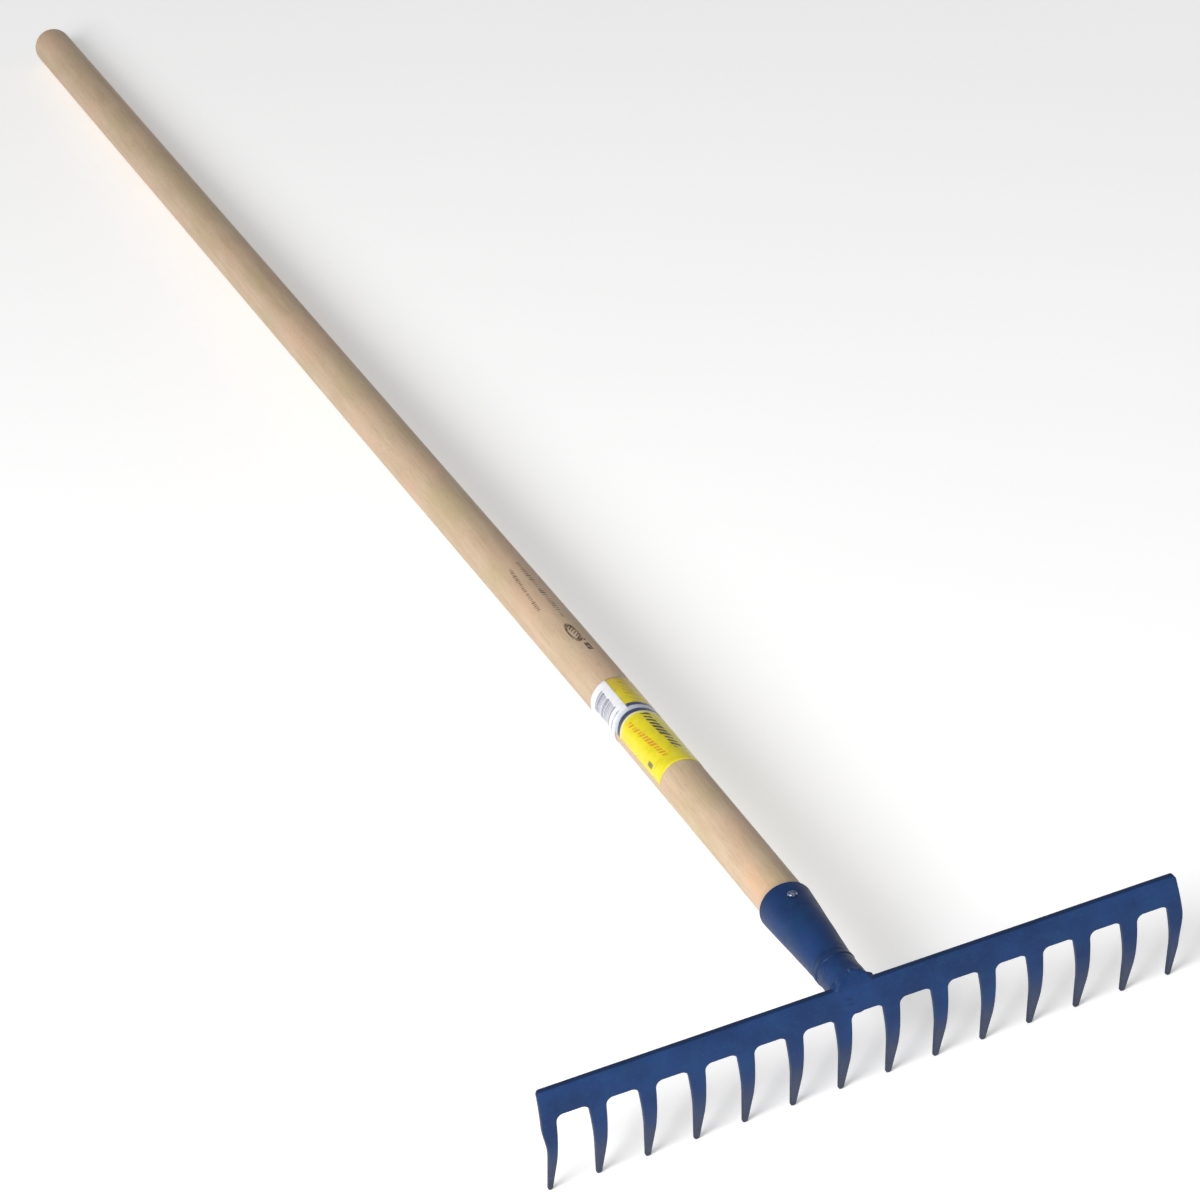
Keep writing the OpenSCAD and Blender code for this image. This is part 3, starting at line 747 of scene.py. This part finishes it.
def face_y(z, side):
    """The plate's front (side -1) or back (side +1) at a height, tapered below the bend."""
    bend = BEND_TO + side * PLATE_T / 2 * ACROSS_TIP
    tip = TIP_AT + side * TIP_T / 2 * ACROSS_TIP
    if z >= bend[1]:
        return bend_y(z, side)
    if z >= tip[1]:
        return tip[0] + (bend[0] - tip[0]) * (z - tip[1]) / (bend[1] - tip[1])
    return TIP_AT[0] + side * math.sqrt(max(0.0, (TIP_T / 2) ** 2 - (z - TIP_AT[1]) ** 2))


# Distances of the first rows and columns of points from an edge, and the columns in half a gap. The plug
# weld shows on the comb's front: its x and z, and the radius of its ring.
EDGE_STEPS = (0.0, 0.05, 0.15, 0.32, 0.6)
GAP_COLS = 10
PLUG_WELD, PLUG_WELD_R = (-9.0, -4.4), 1.7


def comb_rows():
    """The heights of the comb's rows of points, close together at the tips, the corners and the edges."""
    rows = [TIP_ROUND_Z - TIP_HALF * math.sin(math.radians(a)) for a in (90, 78, 64, 48, 32, 16)]
    rows += list(np.linspace(TIP_ROUND_Z, ROOT_Z, 40))[:-1]
    rows += [ROOT_Z + GAP_CORNER * math.sin(math.radians(a)) for a in (0, 12, 24, 36, 48, 60, 70, 78, 85)]
    rows += [GAP_TOP + e for e in EDGE_STEPS] + list(np.linspace(GAP_TOP + 1.5, COMB_TOP - 1.5, 24))
    return rows + [COMB_TOP - e for e in EDGE_STEPS[::-1]]


def tooth_columns(left, right):
    """The places across a tooth where it has points, close together at its two edges."""
    half = (right - left) / 2
    squeeze = min(1.0, half / 0.7)
    near = [e * squeeze for e in EDGE_STEPS]
    inner = np.linspace(left + near[-1], right - near[-1], 9)[1:-1]
    return [left + e for e in near] + list(inner) + [right - e for e in near[::-1]]


def outline_segments():
    """The comb's front outline as many short segments, for the distance to its edge."""
    segments = []

    def add(points):
        segments.extend((points[i], points[i + 1]) for i in range(len(points) - 1))

    zs = comb_rows()
    tooth_zs = [z for z in zs if z <= GAP_TOP + 1e-9]
    for k in range(TEETH):
        x = (k - (TEETH - 1) / 2) * PITCH
        for side in (-1, 1):
            outer = (k == 0 and side < 0) or (k == TEETH - 1 and side > 0)
            if outer:
                add([(side * end_limit(z), z) for z in zs])
            else:
                add([(x + side * tooth_half(z), z) for z in tooth_zs])
                add([(x + side * tooth_half(GAP_TOP), GAP_TOP), (x + side * PITCH / 2, GAP_TOP)])
    add([(-COMB_HALF + CORNER_R, COMB_TOP), (COMB_HALF - CORNER_R, COMB_TOP)])
    return np.array(segments)


def end_limit(z):
    """Half width of the comb at a height, with the tip's round and the top corner's."""
    x = end_x(z)
    if z < TIP_ROUND_Z:
        centre = (TEETH - 1) / 2 * PITCH
        return centre + (x - centre) * math.sqrt(max(0.0, 1 - ((TIP_ROUND_Z - z) / TIP_HALF) ** 2))
    over = z - (COMB_TOP - CORNER_R)
    if over > 0:
        x -= CORNER_R - math.sqrt(max(0.0, CORNER_R ** 2 - over * over))
    return x


def edge_distance(points, segments):
    """The distance of each (x, z) point to the nearest segment."""
    a, b = segments[:, 0], segments[:, 1]
    d = b - a
    length = np.maximum((d * d).sum(1), 1e-12)
    best = np.empty(len(points))
    for start in range(0, len(points), 400):
        p = points[start:start + 400, None, :]
        t = np.clip(((p - a) * d).sum(2) / length, 0, 1)
        best[start:start + 400] = np.sqrt((((a + t[..., None] * d) - p) ** 2).sum(2)).min(1)
    return best


def make_comb():
    """Front and back from one grid of points, tooth by tooth, and a strip that joins them along the edges."""
    segments = outline_segments()
    rows = comb_rows()
    bar_first = next(i for i, z in enumerate(rows) if z >= GAP_TOP - 1e-9)
    flat, quads = [], []
    for k in range(TEETH):
        x = (k - (TEETH - 1) / 2) * PITCH
        first, width = [], []
        for i, z in enumerate(rows):
            half = tooth_half(z)
            left = -end_limit(z) if k == 0 else x - half
            right = end_limit(z) if k == TEETH - 1 else x + half
            cols = tooth_columns(left, right)
            if i >= bar_first:
                more = list(np.linspace(0, PITCH / 2 - half, GAP_COLS + 1)[1:])
                if k > 0:
                    cols = [left - e for e in more[::-1]] + cols
                if k < TEETH - 1:
                    cols = cols + [right + e for e in more]
            first.append(len(flat))
            width.append(len(cols))
            flat += [(c, z) for c in cols]
        for i in range(len(rows) - 1):
            skip = GAP_COLS if (i + 1 >= bar_first and i < bar_first and k > 0) else 0
            n = min(width[i], width[i + 1])
            for j in range(n - 1):
                low, top = first[i] + j, first[i + 1] + j + skip
                quads.append((low, low + 1, top + 1, top))
    flat = np.array(flat)
    depth = edge_distance(flat, segments)
    points = []
    for side in (-1, 1):
        for (x, z), d in zip(flat, depth):
            front, back = face_y(z, -1), face_y(z, 1)
            middle, half = (front + back) / 2, (back - front) / 2
            r = min(EDGE_ROUND, half)
            inside = min(r, max(0.0, r - d))
            lift = half - r + math.sqrt(max(0.0, r * r - inside * inside))
            bow = 0.1 * wobble((x, 0, z), 30, 1.3) + 0.1
            fine = 0.05 * wobble((x, side * 9, z), 5, 7.9) - 0.05
            plug = math.hypot(x - PLUG_WELD[0], z - PLUG_WELD[1])
            if side < 0 and plug < 5:
                fine += 0.4 * math.exp(-((plug - PLUG_WELD_R) / 0.55) ** 2) - 0.3 * math.exp(-plug ** 2)
            points.append((x, middle + bow + side * (lift + fine * min(1.0, d)), z))
    n = len(flat)
    faces = [q[::-1] for q in quads] + [tuple(i + n for i in q) for q in quads]
    spots = [tuple(np.round(spot, 4)) for spot in flat]
    count = {}
    for q in quads:
        for a, b in zip(q, q[1:] + q[:1]):
            count.setdefault(frozenset((spots[a], spots[b])), []).append((a, b))
    for key, found in count.items():
        if len(found) == 1 and len(key) == 2:
            a, b = found[0]
            faces.append((a, b, b + n, a + n))
    # The rim number sets painted shade along the outline and in a ring round the plug weld.
    rim = np.tile(np.clip(1 - depth / 0.6, 0, 1), 2)
    plug = np.hypot(flat[:, 0] - PLUG_WELD[0], flat[:, 1] - PLUG_WELD[1])
    rim[:n] = np.maximum(rim[:n], np.exp(-((plug - PLUG_WELD_R - 0.2) / 0.7) ** 2))
    return piece("comb", points, faces, rim=rim)


# ---------------------------------------------------------------- labels
def wrapped(name, y0, y1, a0, a1, base=0.0, curl=0.05):
    """A thin printed film on the handle, base mm off the wood. Its edges stand off by up to curl mm more."""
    rows, cols = 60, 110
    grid = np.zeros((rows, cols, 3))
    normal = np.zeros_like(grid)
    uv = []
    for i in range(rows):
        v = i / (rows - 1)
        y = y0 + (y1 - y0) * v
        for j in range(cols):
            u = j / (cols - 1)
            deg = a0 + (a1 - a0) * u
            edge = min(u * 4, (1 - u) * 4, v * 8, (1 - v) * 8, 1.0)
            loose = 0.5 + 0.5 * wobble((u * 40, v * 40, 3), 9, 1.1)
            lift = base + FILM / 2 + 0.02 + curl * (1 - smooth(edge)) * loose
            grid[i, j] = on_pole(y, deg, lift)
            normal[i, j] = [math.sin(math.radians(deg)), 0, math.cos(math.radians(deg))]
            uv.append((y / POLE_END, deg / 360))
    half = np.full((rows, cols), FILM / 2)
    points, faces = sheet(grid, normal, half, np.full((rows, cols), NO_EDGE), 0.01)
    return piece(name, points, faces, uv + uv)


# ---------------------------------------------------------------- camera, floor and light
# Angles in degrees, AIM and DISTANCE in metres, and LENS in mm.
AIM = Vector((0.0266, -0.3422, 0.07))
AZIMUTH, ELEVATION, ROLL, DISTANCE, LENS = -17.414, 30.669, 8.42, 2.8528, 146.0


def make_camera():
    """A long lens from the left of the comb's front, turned a little about its own axis."""
    data = bpy.data.cameras.new("camera")
    data.lens, data.sensor_width = LENS, 36.0
    data.clip_start, data.clip_end = 0.05, 60
    camera = bpy.data.objects.new("camera", data)
    bpy.context.scene.collection.objects.link(camera)
    a, e = math.radians(AZIMUTH), math.radians(ELEVATION)
    back = Vector((math.sin(a) * math.cos(e), -math.cos(a) * math.cos(e), math.sin(e)))
    camera.location = AIM + back * DISTANCE
    camera.rotation_mode = "QUATERNION"
    camera.rotation_quaternion = (-back).to_track_quat("-Z", "Y") @ Quaternion((0, 0, 1), -math.radians(ROLL))
    bpy.context.scene.camera = camera


def make_floor():
    """A wide pale floor that shines a little of its own, more so far away, so that it stays almost white."""
    bm = bmesh.new()
    bmesh.ops.create_grid(bm, x_segments=24, y_segments=24, size=14)
    mesh = bpy.data.meshes.new("floor")
    bm.to_mesh(mesh)
    bm.free()
    floor = bpy.data.objects.new("floor", mesh)
    bpy.context.scene.collection.objects.link(floor)
    p = Paint("floor_paper")
    cloud = p.noise(p.place(), 3, 2)
    away = p.node("VectorMath", {"Vector": p.place((1, 0.75, 1))}, operation="LENGTH").outputs["Value"]
    colour = p.mix(cloud, (0.90, 0.90, 0.90), (0.93, 0.93, 0.93))
    mesh.materials.append(p.done(base_color=colour, roughness=0.9, specular_ior_level=0.1,
                                 emission_color=(1, 1, 1),
                                 emission_strength=p.span(away, 0.6, 2.6, 0.27, 0.62)))


def area_light(name, at, towards, size, power):
    data = bpy.data.lights.new(name, "AREA")
    data.shape, data.size, data.energy = "SQUARE", size, power
    light = bpy.data.objects.new(name, data)
    bpy.context.scene.collection.objects.link(light)
    light.location = at
    light.rotation_mode = "QUATERNION"
    light.rotation_quaternion = (Vector(towards) - Vector(at)).to_track_quat("-Z", "Y")


def make_light():
    """A soft sky, brightest near the horizon, and one large lamp at the front left."""
    world = bpy.data.worlds.new("studio")
    bpy.context.scene.world = world
    world.use_nodes = True
    tree = world.node_tree
    height = tree.nodes.new("ShaderNodeSeparateXYZ")
    tree.links.new(tree.nodes.new("ShaderNodeTexCoord").outputs["Generated"], height.inputs[0])
    level = tree.nodes.new("ShaderNodeMapRange")
    for name, value in (("From Min", 0.06), ("From Max", 0.24), ("To Min", 0.92), ("To Max", 0.26)):
        level.inputs[name].default_value = value
    tree.links.new(height.outputs[2], level.inputs["Value"])
    tree.links.new(level.outputs[0], tree.nodes["Background"].inputs["Strength"])
    tree.nodes["Background"].inputs["Color"].default_value = (1, 1, 1, 1)
    area_light("key", at=(-2.2, -2.4, 2.0), towards=(0, -0.2, 0), size=1.6, power=146)


# ---------------------------------------------------------------- everything in order
make_camera()
make_floor()
make_light()
bpy.context.scene.view_settings.view_transform = "Standard"

wood, blue, welded = ash_wood(), enamel("blue_enamel"), enamel("weld_enamel", (0.0075, 0.028, 0.098), 1.5)
finish_piece(make_handle(), wood, "handle")
finish_piece(make_socket(), blue, "socket")
finish_piece(make_neck(), blue, "neck")
finish_piece(make_comb(), blue, "tooth_bar")
finish_piece(make_socket_weld(), welded, "socket_weld")
finish_piece(make_bar_weld(), welded, "bar_weld")
finish_piece(make_nail(), nail_steel(), "handle_nail")
wrap_label = wrapped("wrap_label", LABEL_FROM, LABEL_TO, LABEL_A, LABEL_B)
finish_piece(wrap_label, label_film(), "label")
code_label = wrapped("code_label", CODE_FROM, CODE_TO, CODE_A, CODE_B, base=FILM + 0.02)
finish_piece(code_label, code_paper(), "code_sticker")
